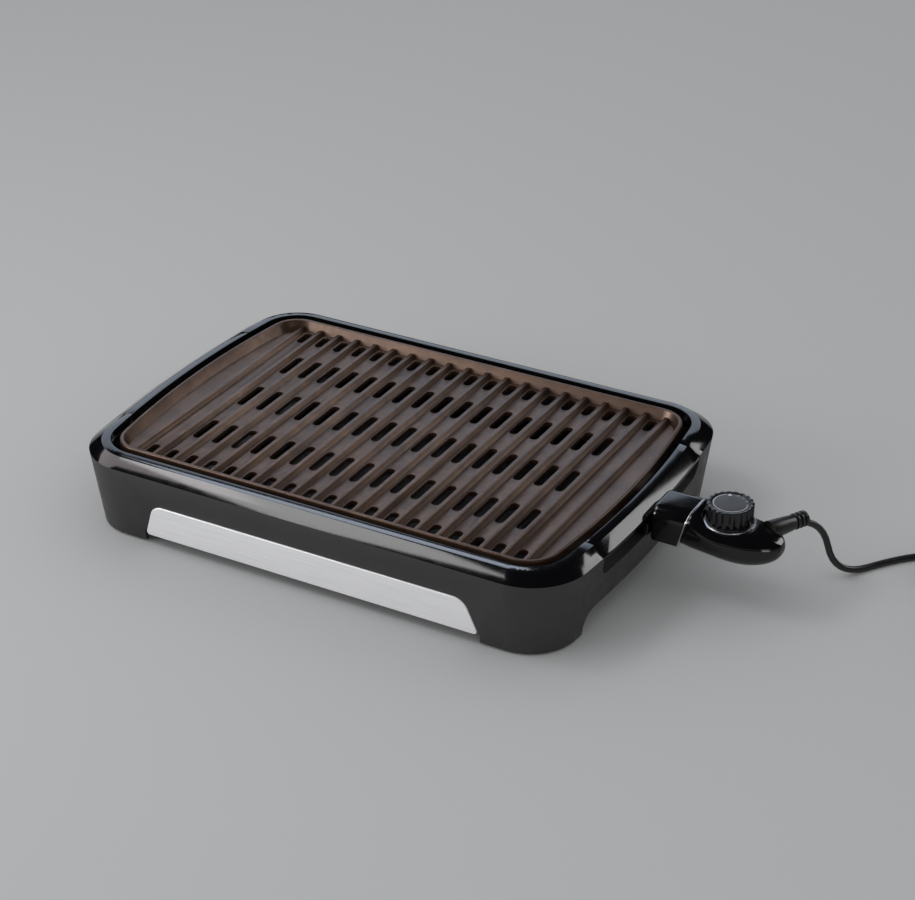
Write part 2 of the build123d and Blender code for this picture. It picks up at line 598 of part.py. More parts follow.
# Thermostat switch inside the body, below the dial's shaft
SWITCH = (34.0, 28.0)
SWITCH_Z = (50.0, 66.0)
with BuildPart() as thermostat:
    with Locations(at(DIAL_X - 3, 0, SWITCH_Z[0])):
        Box(*SWITCH, SWITCH_Z[1] - SWITCH_Z[0], align=(Align.CENTER, Align.CENTER, Align.MIN))
thermostat.part.label = "thermostat"
export_step(thermostat.part, "parts/thermostat.step")

with BuildPart() as dial_bezel:
    with Locations(at(DIAL_X, 0, DIAL_SEAT_Z)):
        Cylinder(DIAL_SKIRT_R, BEZEL_H, align=(Align.CENTER, Align.CENTER, Align.MIN))
        Cylinder(SHAFT_R + CLEAR, 20, mode=Mode.SUBTRACT)
dial_bezel.part.label = "dial_bezel"
export_step(dial_bezel.part, "parts/dial_bezel.step")

with BuildPart() as shell_screws:
    with Locations(*[at(x, y, SCREW_TOP) for x, y in SHELL_SCREWS]):
        Cylinder(SCREW_R, SCREW_L, align=(Align.CENTER, Align.CENTER, Align.MAX))
shell_screws.part.label = "shell_screws"
export_step(shell_screws.part, "parts/shell_screws.step")

# --- dial ---------------------------------------------------------------------------------------
KNOB_Z = DIAL_SEAT_Z + BEZEL_H + 0.4
FLUTES = 20
CAP_INSET = 3.6                         # wall round the dial's face
SHAFT_SOCKET = 6.0
FLANGE_PROUD = 0.8
FLUTE_R = 2.0
with BuildPart() as dial_knob:
    with BuildSketch(level(KNOB_Z)):
        with Locations((DIAL_X, 0)):
            Circle(DIAL_R + FLANGE_PROUD)
    with BuildSketch(level(DIAL_TOP)):
        with Locations((DIAL_X, 0)):
            Circle(DIAL_R)
    loft()
    chamfer(dial_knob.faces().sort_by(Axis.Z)[-1].edges(), 1)
    with Locations(at(DIAL_X, 0, KNOB_Z + 1.5)):
        with PolarLocations(DIAL_R + 1.1, FLUTES):
            Cylinder(FLUTE_R, 20, align=(Align.CENTER, Align.CENTER, Align.MIN), mode=Mode.SUBTRACT)
    with Locations(at(DIAL_X, 0, DIAL_TOP)):
        Cylinder(DIAL_R - CAP_INSET, 2.4, mode=Mode.SUBTRACT)
    with Locations(at(DIAL_X, 0, KNOB_Z)):
        Cylinder(SHAFT_R, 2 * SHAFT_SOCKET, mode=Mode.SUBTRACT)
dial_knob.part.label = "dial_knob"
export_step(dial_knob.part, "parts/dial_knob.step")

with BuildPart() as dial_cap:
    with Locations(at(DIAL_X, 0, DIAL_TOP - 1.2)):
        Cylinder(DIAL_R - CAP_INSET - TOUCH, 1.0, align=(Align.CENTER, Align.CENTER, Align.MIN))
dial_cap.part.label = "dial_cap"
export_step(dial_cap.part, "parts/dial_cap.step")

with BuildPart() as dial_shaft:
    with Locations(at(DIAL_X, 0, SWITCH_Z[1] + CLEAR)):
        Cylinder(SHAFT_R, KNOB_Z + SHAFT_SOCKET - SWITCH_Z[1] - CLEAR,
                 align=(Align.CENTER, Align.CENTER, Align.MIN))
dial_shaft.part.label = "dial_shaft"
export_step(dial_shaft.part, "parts/dial_shaft.step")

# --- drip tray ----------------------------------------------------------------------------------
TRAY_FRONT = -(CREASE_Y + SKIRT_FOOT_OUT) + 4
tray_middle = (TRAY_FRONT + TRAY_BACK) / 2
tray_depth = TRAY_BACK - TRAY_FRONT
with BuildPart() as drip_tray:
    for inset, low, mode in ((0, TRAY_Z, Mode.ADD), (TRAY_WALL, TRAY_Z + TRAY_WALL, Mode.SUBTRACT)):
        with BuildSketch(level(low)):
            with Locations((0, tray_middle)):
                RectangleRounded(2 * (TRAY_HALF - inset), tray_depth - 2 * inset, TRAY_R - inset)
        extrude(amount=TRAY_TOP - low, mode=mode)
    with BuildSketch(level(TRAY_TOP - TRAY_WALL)):
        with Locations((0, tray_middle)):
            RectangleRounded(2 * (TRAY_HALF + TRAY_FLANGE), tray_depth, TRAY_R)
            RectangleRounded(2 * (TRAY_HALF - TRAY_WALL), tray_depth - 2 * TRAY_WALL,
                             TRAY_R - TRAY_WALL, mode=Mode.SUBTRACT)
    extrude(amount=TRAY_WALL)
drip_tray.part.label = "drip_tray"
export_step(drip_tray.part, "parts/drip_tray.step")

with BuildPart() as tray_front_panel:
    with BuildSketch(front_slope.offset(PANEL_PROUD - PANEL_T)):
        add(panel_outline())
    extrude(amount=PANEL_T)
    fillet(tray_front_panel.faces().sort_by(Axis.Y)[0].edges(), 0.8)
tray_front_panel.part.label = "tray_front_panel"
export_step(tray_front_panel.part, "parts/tray_front_panel.step")

# Blocks that join the panel to the front wall of the tray
BLOCK = (24.0, 12.0)
BLOCK_Z = 22.0
with BuildPart() as panel_blocks:
    for x in (50 - TRAY_HALF, 0, TRAY_HALF - 50):
        with BuildSketch(Plane(origin=(BASE_X + x, TRAY_FRONT, 0), x_dir=(1, 0, 0),
                               z_dir=(0, -1, 0))):
            with Locations((0, BLOCK_Z)):
                Rectangle(*BLOCK)
        extrude(amount=THROUGH / 2)
    with BuildSketch(front_slope.offset(PANEL_PROUD - PANEL_T)):
        Rectangle(2 * CREASE_X, 2 * CREASE_Y)
    extrude(amount=THROUGH, mode=Mode.SUBTRACT)
panel_blocks.part.label = "panel_blocks"
export_step(panel_blocks.part, "parts/panel_blocks.step")

# --- lead ---------------------------------------------------------------------------------------

def bend_radii(points):
    """One radius for each corner: 0.45 of the shorter run, over the tangent of half the turn."""
    radii = []
    for before, corner, after in zip(points, points[1:], points[2:]):
        into, out = Vector(corner) - Vector(before), Vector(after) - Vector(corner)
        half_turn = radians(into.get_angle(out)) / 2
        radii.append(0.45 * min(into.length, out.length) / tan(half_turn))
    return radii


def tube(points, diameter):
    """Round tube along straight runs joined by tangent arcs."""
    radii = bend_radii(points)
    with BuildPart() as run:
        with BuildLine() as line:
            FilletPolyline(*points, radius=radii)
        with BuildSketch(Plane(line.line @ 0, z_dir=line.line % 0)):
            Circle(diameter / 2)
        sweep()
    length = line.wire().length
    share = run.part.volume / (pi * diameter**2 / 4 * length)
    print(f"tube: length {length:.0f}, volume share {share:.3f}, radii", [round(r) for r in radii])
    return run.part


cord_points = [boot_plane.offset(CORD_START).origin, *[(BASE_X + x, y, z) for x, y, z in CORD_ROUTE]]
with BuildPart() as cord_tube:
    add(tube(cord_points, CORD_D))
cord_tube.part.label = "cord_tube"
export_step(cord_tube.part, "parts/cord_tube.step")

with BuildPart() as strain_relief:
    add(boot_cone())
    for run in (BOOT_L - 12.5, BOOT_L - 8, BOOT_L - 3.5):
        with Locations(boot_plane.offset(run)):
            Cylinder(*BOOT_RING)
    add(cord_tube.part, mode=Mode.SUBTRACT)
strain_relief.part.label = "strain_relief"
export_step(strain_relief.part, "parts/strain_relief.step")

# The plug lies on its side in front of the coil, pins towards the front
PLUG_X = COIL_CENTRE[0] + COIL_R
PLUG_BACK = COIL_CENTRE[1] - 58
tail_points = [(BASE_X + PLUG_X, COIL_CENTRE[1], 11), (BASE_X + PLUG_X, COIL_CENTRE[1] - 30, 13),
               (BASE_X + PLUG_X, PLUG_BACK, PLUG_R)]
with BuildPart() as cord_tail:
    add(tube(tail_points, CORD_D))
cord_tail.part.label = "cord_tail"
export_step(cord_tail.part, "parts/cord_tail.step")

with BuildPart() as cord_coil:
    with Locations(at(*COIL_CENTRE, 0)):
        Cylinder(COIL_R + COIL_HALF_W, COIL_H, align=(Align.CENTER, Align.CENTER, Align.MIN))
        Cylinder(COIL_R - COIL_HALF_W, 3 * COIL_H, mode=Mode.SUBTRACT)
    fillet(cord_coil.edges().filter_by(GeomType.CIRCLE), CORD_D / 2)
    add(cord_tube.part, mode=Mode.SUBTRACT)
    add(cord_tail.part, mode=Mode.SUBTRACT)
cord_coil.part.label = "cord_coil"
export_step(cord_coil.part, "parts/cord_coil.step")

plug_plane = Plane(origin=(BASE_X + PLUG_X, PLUG_BACK, PLUG_R), x_dir=(1, 0, 0), z_dir=(0, -1, 0))
PLUG_SECTIONS = ((0, 5), (14, 7), (24, 15), (32, PLUG_R), (46, PLUG_R))
PLUG_L = PLUG_SECTIONS[-1][0]
with BuildPart() as plug_body:
    for (run, radius), (next_run, next_radius) in zip(PLUG_SECTIONS, PLUG_SECTIONS[1:]):
        with BuildSketch(plug_plane.offset(run)):
            Circle(radius)
        with BuildSketch(plug_plane.offset(next_run)):
            Circle(next_radius)
        loft()
    for side in (-1, 1):
        with Locations(plug_plane.offset(PLUG_L) * Location((0, side * PLUG_R, 0))):
            Box(8, 3, 20, mode=Mode.SUBTRACT)
    add(cord_tail.part, mode=Mode.SUBTRACT)
plug_body.part.label = "plug_body"
export_step(plug_body.part, "parts/plug_body.step")

with BuildPart() as plug_pins:
    with Locations(plug_plane.offset(PLUG_L)):
        with GridLocations(PIN_SPACING, 0, 2, 1):
            Cylinder(PIN_R, PIN_L, align=(Align.CENTER, Align.CENTER, Align.MIN))
    fillet(plug_pins.faces().group_by(Axis.Y)[0].edges(), 1.2)
plug_pins.part.label = "plug_pins"
export_step(plug_pins.part, "parts/plug_pins.step")

with BuildPart() as plug_earth_clips:
    for side in (-1, 1):
        with Locations(plug_plane.offset(PLUG_L) * Location((0, side * (PLUG_R - 0.9), -4.9))):
            Box(5, 1, 9)
plug_earth_clips.part.label = "plug_earth_clips"
export_step(plug_earth_clips.part, "parts/plug_earth_clips.step")
print("front leans", round(degrees(LEAN), 2), "degrees")
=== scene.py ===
"""Electric griddle: the looks of its plate, base, drip tray, heat control and lead."""

import json
from math import atan2, cos, degrees, hypot, pi, radians, sin

import bpy
from bpy.props import FloatProperty, FloatVectorProperty, IntProperty, PointerProperty
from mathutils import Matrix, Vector

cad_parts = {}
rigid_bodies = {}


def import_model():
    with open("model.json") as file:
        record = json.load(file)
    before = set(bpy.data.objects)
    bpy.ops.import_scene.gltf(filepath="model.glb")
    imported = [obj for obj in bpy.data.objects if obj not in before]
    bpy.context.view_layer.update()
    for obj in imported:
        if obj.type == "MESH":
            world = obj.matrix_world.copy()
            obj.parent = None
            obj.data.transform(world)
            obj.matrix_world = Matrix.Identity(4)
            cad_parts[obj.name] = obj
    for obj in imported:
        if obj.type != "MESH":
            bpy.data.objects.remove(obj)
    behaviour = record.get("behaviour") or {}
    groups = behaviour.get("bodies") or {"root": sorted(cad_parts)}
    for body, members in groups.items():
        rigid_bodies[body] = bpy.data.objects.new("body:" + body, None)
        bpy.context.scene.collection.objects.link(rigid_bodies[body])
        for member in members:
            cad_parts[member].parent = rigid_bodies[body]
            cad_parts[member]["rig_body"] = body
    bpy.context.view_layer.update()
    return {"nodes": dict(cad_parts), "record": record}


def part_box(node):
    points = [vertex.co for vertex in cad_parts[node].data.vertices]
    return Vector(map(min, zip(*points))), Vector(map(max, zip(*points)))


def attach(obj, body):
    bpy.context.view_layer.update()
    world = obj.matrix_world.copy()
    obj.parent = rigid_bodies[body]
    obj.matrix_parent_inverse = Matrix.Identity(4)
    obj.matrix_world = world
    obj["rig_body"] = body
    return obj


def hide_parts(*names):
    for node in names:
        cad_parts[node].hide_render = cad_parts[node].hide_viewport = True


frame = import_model()

bl_info = {
    "name": "Electric Griddle",
    "version": (1, 0, 0),
    "blender": (4, 5, 0),
    "location": "3D View > Sidebar > Griddle",
    "description": "Finishes an electric griddle and sets it up in a plain studio",
    "category": "Add Mesh",
}

MM = 0.001
POINTER = 116                        # degrees round the dial from +X
BASE_X = sum(corner[0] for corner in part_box("rim")) / 2      # middle of the base
DIAL = Vector([(low + high) / 2 for low, high in zip(*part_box("dial_knob"))])
SLOT_OF = {part["node"]: part["material_slot"] for part in frame["record"]["subparts"]}


def linear(hex_colour):
    """Linear RGBA of an sRGB colour such as #a0b1c2."""
    channels = [int(hex_colour[i:i + 2], 16) / 255 for i in (1, 3, 5)]
    return tuple(c / 12.92 if c <= 0.04045 else ((c + 0.055) / 1.055) ** 2.4 for c in channels) + (1.0,)


# --- sizes and colours that a user would change ---------------------------------------------------
def length(name, description, millimetres):
    """A length property, given in millimetres."""
    return FloatProperty(name=name, description=description, default=millimetres * MM, unit="LENGTH",
                         min=0.0, precision=5)


def colour(name, description, hex_colour):
    """A colour property, given as sRGB hex."""
    return FloatVectorProperty(name=name, description=description, subtype="COLOR", size=4, min=0.0,
                               max=1.0, default=linear(hex_colour))


class GriddleSizes(bpy.types.PropertyGroup):
    """Sizes of the details that the finished pieces add"""
    gloss_edge: length("Gloss edge", "Rounding of the rim's and handles' edges", 0.7)
    skirt_edge: length("Skirt edge", "Rounding of the skirt's edges", 0.5)
    plate_edge: length("Plate edge", "Rounding of the ribs' and slots' edges", 0.45)
    control_edge: length("Control edge", "Rounding of the heat control's edges", 0.6)
    flutes: IntProperty(name="Flutes", description="Grips round the dial", default=20, min=8, max=60)
    flute_depth: length("Flute depth", "Depth of the hollows between the dial's grips", 1.3)
    lead_diameter: length("Lead diameter", "Diameter of the lead", 5.6)
    lead_length: length("Lead length", "Length of the lead from strain relief to plug", 1150.0)


class GriddleColours(bpy.types.PropertyGroup):
    """Colours of the finishes"""
    skirt: colour("Skirt", "Matte moulding of the base", "#2b292a")
    gloss: colour("Gloss", "Polished rim, handles and heat control", "#08080a")
    coating: colour("Coating", "Non-stick coating of the plate", "#584234")
    coating_dark: colour("Coating dark", "Darker drift in the coating", "#38281f")
    silver: colour("Silver", "Front panel of the drip tray", "#f0f0f2")
    rubber: colour("Rubber", "Feet, lead and plug", "#151516")
    marks: colour("Marks", "Printed marks of the dial", "#a9aaad")
    floor: colour("Floor", "Studio floor", "#a4a5a6")


def sizes():
    return bpy.context.scene.griddle_sizes


def colours():
    return bpy.context.scene.griddle_colours


# --- materials ------------------------------------------------------------------------------------
def add_node(material, kind, inputs=None, **settings):
    """Adds a node with its settings. An input given as a socket is linked, any other is set."""
    node = material.node_tree.nodes.new(kind)
    for name, value in settings.items():
        setattr(node, name, value)
    for name, value in (inputs or {}).items():
        if isinstance(value, bpy.types.NodeSocket):
            material.node_tree.links.new(value, node.inputs[name])
        else:
            node.inputs[name].default_value = value
    return node


def new_material(name, **shader_inputs):
    """A material with one shader, its constants set on the shader's own sockets."""
    material = bpy.data.materials.new(name)
    material.use_nodes = True
    shader = material.node_tree.nodes["Principled BSDF"]
    for socket, value in shader_inputs.items():
        shader.inputs[socket.replace("_", " ")].default_value = value
    return material, shader


def noise(material, size_mm, detail=3.0, stretch=(1.0, 1.0, 1.0), roughness=0.5):
    """Noise whose blotches are about size_mm across, stretched by the three factors."""
    place = add_node(material, "ShaderNodeTexCoord").outputs["Object"]
    mapped = add_node(material, "ShaderNodeMapping", {"Vector": place, "Scale": stretch})
    return add_node(material, "ShaderNodeTexNoise",
                    {"Vector": mapped.outputs["Vector"], "Scale": 1 / (size_mm * MM),
                     "Detail": detail, "Roughness": roughness}).outputs["Fac"]


def spread(material, source, low, high):
    """Maps a noise's middle range to the span from low to high."""
    return add_node(material, "ShaderNodeMapRange", {"Value": source, "From Min": 0.3,
                    "From Max": 0.7, "To Min": low, "To Max": high}).outputs["Result"]


def bump(material, shader, height, depth_mm, strength=1.0):
    """Links a height to the shader's normal."""
    node = add_node(material, "ShaderNodeBump",
                    {"Height": height, "Distance": depth_mm * MM, "Strength": strength})
    material.node_tree.links.new(node.outputs["Normal"], shader.inputs["Normal"])


def tint(material, shader, source, first, second):
    """Drifts the base colour between two colours."""
    mix = add_node(material, "ShaderNodeMix", data_type="RGBA")
    colour_inputs = [socket for socket in mix.inputs if socket.type == "RGBA"]
    colour_inputs[0].default_value, colour_inputs[1].default_value = first, second
    material.node_tree.links.new(source, mix.inputs["Factor"])
    result = [socket for socket in mix.outputs if socket.type == "RGBA"][0]
    material.node_tree.links.new(result, shader.inputs["Base Color"])


def shade(colour_value, factor):
    """The same colour, darker or lighter."""
    return tuple(min(1.0, channel * factor) for channel in colour_value[:3]) + (1.0,)


def moulding(name, base, roughness, grain_mm, grain_depth, drift=0.06):
    """Injection-moulded plastic: one colour, a fine grain from the tool, a sheen that drifts."""
    material, shader = new_material(name, IOR=1.49)
    tint(material, shader, spread(material, noise(material, 35), 0, 1), base, shade(base, 1.12))
    wear = spread(material, noise(material, 12, 4.0), roughness - drift, roughness + drift)
    material.node_tree.links.new(wear, shader.inputs["Roughness"])
    bump(material, shader, noise(material, grain_mm, 2.0), grain_depth)
    return material


def skirt_plastic():
    # Glass-filled polypropylene, spark-textured tool: even dark grey with a soft broad sheen
    return moulding("polypropylene, spark grain", colours().skirt, 0.46, 0.9, 0.05)


def rim_gloss():
    # ABS from a polished tool: black mirror with a very slow waviness that softens reflections
    return moulding("ABS, polished", colours().gloss, 0.1, 14.0, 0.012, 0.02)


def control_plastic():
    # ABS from a polished tool, handled more than the rim, so a touch duller
    return moulding("ABS, polished and handled", colours().gloss, 0.13, 9.0, 0.012, 0.03)


def collar_plastic():
    # ABS with satin chrome plating: a bright line beside the polished shells
    return metal("ABS, satin chrome plated", linear("#b8b8bb"), 0.28, 1.0, 0.01)


def dial_plastic():
    # Phenolic moulding: hard satin black
    return moulding("phenolic, satin", shade(colours().gloss, 1.6), 0.18, 1.5, 0.015)


def dial_face():
    # Printed polycarbonate disc: dark grey and smooth
    return moulding("polycarbonate, smooth", linear("#2b292a"), 0.32, 3.0, 0.004)


def thermostat_case():
    # Brown phenolic of the switch inside the control
    return moulding("phenolic, brown", linear("#3a2a1e"), 0.5, 1.0, 0.02)


def silicone():
    # Silicone rubber: dull and dark, with a fine bloom
    return moulding("silicone rubber", colours().rubber, 0.72, 1.0, 0.05)


def lead_sleeve():
    # PVC sleeve, extruded: satin black with faint lengthwise drift in its sheen
    return moulding("PVC, extruded", colours().rubber, 0.38, 2.2, 0.02)


def plug_rubber():
    # PVC moulded round the plug: satin black with a fine grip grain
    return moulding("PVC, moulded", colours().rubber, 0.45, 0.8, 0.04)


def nonstick_plate():
    # Cast aluminium with a bronze non-stick coating: fine mica flakes in a satin brown film
    material, shader = new_material("non-stick coating on cast aluminium", Metallic=0.65,
                                    Coat_Weight=0.1, Coat_Roughness=0.3)
    flakes = spread(material, noise(material, 0.8, 2.0), 0, 0.35)
    clouds = spread(material, noise(material, 28, 3.0), 0, 0.65)
    both = add_node(material, "ShaderNodeMath", {0: flakes, 1: clouds}, operation="ADD")
    tint(material, shader, both.outputs[0], colours().coating, colours().coating_dark)
    sheen = spread(material, noise(material, 6, 4.0), 0.34, 0.46)
    material.node_tree.links.new(sheen, shader.inputs["Roughness"])
    bump(material, shader, noise(material, 0.7, 2.0), 0.04)
    return material


def panel_metal():
    # Aluminium sheet, brushed lengthwise and clear-lacquered: pale silver with fine streaks
    material, shader = new_material("aluminium, brushed and lacquered", Metallic=0.25)
    streaks = noise(material, 0.5, 3.0, stretch=(0.012, 1.0, 1.0))
    tint(material, shader, spread(material, streaks, 0, 1), colours().silver,
         shade(colours().silver, 0.86))
    sheen = spread(material, noise(material, 2, 3.0, stretch=(0.03, 1.0, 1.0)), 0.36, 0.5)
    material.node_tree.links.new(sheen, shader.inputs["Roughness"])
    bump(material, shader, streaks, 0.02)
    return material


def metal(name, base, roughness, streak, depth=0.01, size=1.2):
    """Bare metal: its colour drifts a little, and its grain is drawn out along X by streak."""
    material, shader = new_material(name, Metallic=1.0)
    tint(material, shader, spread(material, noise(material, 20), 0, 1), base, shade(base, 0.82))
    grain = noise(material, size, 3.0, stretch=(streak, 1.0, 1.0))
    material.node_tree.links.new(spread(material, grain, roughness - 0.07, roughness + 0.07),
                                 shader.inputs["Roughness"])
    bump(material, shader, grain, depth)
    return material


def sheet_steel():
    # Aluminised steel sheet, rolled: pale grey with rolling lines
    return metal("aluminised steel sheet", linear("#b4b4b2"), 0.38, 0.05)


def element_sheath():
    # Stainless tube darkened by heat
    return metal("stainless tube, heat-darkened", linear("#6c665f"), 0.45, 0.4, 0.02)


def plated_brass():
    # Nickel-plated brass, drawn: bright and slightly warm
    return metal("brass, nickel-plated", linear("#cdc7ba"), 0.2, 0.6)


def screw_steel():
    # Zinc-plated steel: cool grey
    return metal("steel, zinc-plated", linear("#a4a6aa"), 0.34, 0.8)


def tray_metal():
    # Steel tray with a baked black coating: semi-gloss with fine orange peel
    return moulding("steel, baked coating", linear("#1c1c1d"), 0.33, 2.5, 0.03)


def printed_marks():
    # Pad-printed ink on the dial: pale grey, matte, slightly uneven
    return moulding("pad-printed ink", colours().marks, 0.5, 0.6, 0.01)


def floor_paper():
    # Seamless background paper: even grey, fully matte
    material, shader = new_material("background paper", Roughness=0.95, Specular_IOR_Level=0.1)
    shader.inputs["Base Color"].default_value = colours().floor
    return material


MAKERS = {maker.__name__: maker for maker in (
    skirt_plastic, rim_gloss, control_plastic, collar_plastic, dial_plastic, dial_face,
    thermostat_case, silicone, lead_sleeve, plug_rubber, nonstick_plate, panel_metal, sheet_steel,
    element_sheath, plated_brass, screw_steel, tray_metal, printed_marks, floor_paper)}
made = {}


def finish_of(name):
    """The material of a record slot or a stage piece, made the first time that it is asked for."""
    if name not in made:
        made[name] = MAKERS[name]()
    return made[name]


# --- modelling helpers ----------------------------------------------------------------------------
def pick(piece):
    """Leaves the piece alone selected and active."""
    bpy.ops.object.select_all(action="DESELECT")
    piece.select_set(True)
    bpy.context.view_layer.objects.active = piece


def select_where(piece, test, kind="VERT"):
    """In edit mode, selects the vertices or faces for which the test is true."""
    bpy.ops.mesh.select_mode(type=kind)
    bpy.ops.mesh.select_all(action="DESELECT")
    bpy.ops.object.mode_set(mode="OBJECT")
    for item in piece.data.polygons if kind == "FACE" else piece.data.vertices:
        item.select = bool(test(item))
    bpy.ops.object.mode_set(mode="EDIT")


def settle(piece, name, body, slot_name, *nodes, finish=None, smooth=30):
    """Fixes a finished piece in the frame: its place, its finish, its body and what it replaces."""
    pick(piece)
    bpy.ops.object.transform_apply(location=True, rotation=True, scale=True)
    piece.name = piece.data.name = name
    if piece.type == "MESH":
        bpy.ops.object.shade_smooth_by_angle(angle=radians(smooth))
    piece.data.materials.clear()
    piece.data.materials.append(finish_of(finish or slot_name))
    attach(piece, body)
    if nodes:
        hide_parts(*nodes)
    return piece


def round_edges(piece, width, angle=18, segments=2):
    """Rounds every edge sharper than the angle."""
    pick(piece)
    bevel = piece.modifiers.new("Rounded edges", "BEVEL")
    bevel.width = width
    bevel.segments = segments
    bevel.limit_method = "ANGLE"
    bevel.angle_limit = radians(angle)
    bevel.use_clamp_overlap = True
    bpy.ops.object.modifier_apply(modifier=bevel.name)


def rounded_copy(node, name, width, angle=18, segments=2, smooth=30):
    """A finished piece made from a CAD node's shape, its edges rounded."""
    piece = bpy.data.objects.new(name, frame["nodes"][node].data.copy())
    bpy.context.scene.collection.objects.link(piece)
    pick(piece)
    bpy.ops.object.mode_set(mode="EDIT")
    bpy.ops.mesh.select_all(action="SELECT")
    bpy.ops.mesh.customdata_custom_splitnormals_clear()
    bpy.ops.mesh.remove_doubles(threshold=0.002 * MM)
    bpy.ops.mesh.dissolve_limited(angle_limit=radians(0.4))
    bpy.ops.object.mode_set(mode="OBJECT")
    round_edges(piece, width, angle, segments)
    body = frame["nodes"][node]["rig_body"]
    return settle(piece, name, body, SLOT_OF[node], node, smooth=smooth)


def turned(profile, start, heading, vertices=48):
    """A round piece along a heading, closed at both ends, from (distance, radius) steps."""
    heading = Vector(heading).normalized()
    turn = Vector((0, 0, 1)).rotation_difference(heading).to_euler()
    bpy.ops.object.select_all(action="DESELECT")
    bpy.ops.mesh.primitive_circle_add(vertices=vertices, radius=profile[0][1], fill_type="NGON",
                                      location=Vector(start) + heading * profile[0][0],
                                      rotation=turn)
    piece = bpy.context.object
    bpy.ops.object.transform_apply(location=True, rotation=True, scale=True)
    bpy.ops.object.mode_set(mode="EDIT")
    bpy.ops.mesh.select_all(action="SELECT")
    for (run, radius), (next_run, next_radius) in zip(profile, profile[1:]):
        bpy.ops.mesh.extrude_region_move(
            TRANSFORM_OT_translate={"value": heading * (next_run - run)})
        bpy.ops.transform.resize(value=(next_radius / radius,) * 3,
                                 center_override=Vector(start) + heading * next_run)
    bpy.ops.mesh.select_all(action="SELECT")
    bpy.ops.mesh.normals_make_consistent(inside=False)
    bpy.ops.object.mode_set(mode="OBJECT")
    return piece


# --- operators: the pieces ------------------------------------------------------------------------
class GriddleRim(bpy.types.Operator):
    """Polished rim and the two handles that fill it"""
    bl_idname = "griddle.rim"
    bl_label = "Rim and Handles"

    def execute(self, context):
        for node in ("rim", "handle_left", "handle_right"):
            rounded_copy(node, f"{node}_polished", sizes().gloss_edge, segments=3)
        return {"FINISHED"}


class GriddleSkirt(bpy.types.Operator):
    """Moulded skirt of the base"""
    bl_idname = "griddle.skirt"
    bl_label = "Skirt"

    def execute(self, context):
        rounded_copy("base_skirt", "skirt_moulding", sizes().skirt_edge, angle=30)
        return {"FINISHED"}


class GriddlePlate(bpy.types.Operator):
    """Ribbed and slotted grill plate with the soft edges of a coated casting"""
    bl_idname = "griddle.plate"
    bl_label = "Grill Plate"

    def execute(self, context):
        rounded_copy("grill_plate", "grill_plate_coated", sizes().plate_edge, angle=25)
        return {"FINISHED"}


class GriddleTray(bpy.types.Operator):
    """Silver panel on the front of the drip tray"""
    bl_idname = "griddle.tray"
    bl_label = "Drip Tray Panel"

    def execute(self, context):
        rounded_copy("tray_front_panel", "tray_panel_brushed", 0.25 * MM, angle=25)
        return {"FINISHED"}


class GriddleControl(bpy.types.Operator):
    """Shells, neck and collar of the heat control"""
    bl_idname = "griddle.control"
    bl_label = "Heat Control"

    def execute(self, context):
        for node in ("probe_neck", "probe_collar", "dial_bezel"):
            rounded_copy(node, f"{node}_finished", sizes().control_edge, angle=25, segments=3)
        for node in ("probe_upper_shell", "probe_lower_shell"):
            rounded_copy(node, f"{node}_polished", 0.2 * MM, angle=32, smooth=40)
        return {"FINISHED"}


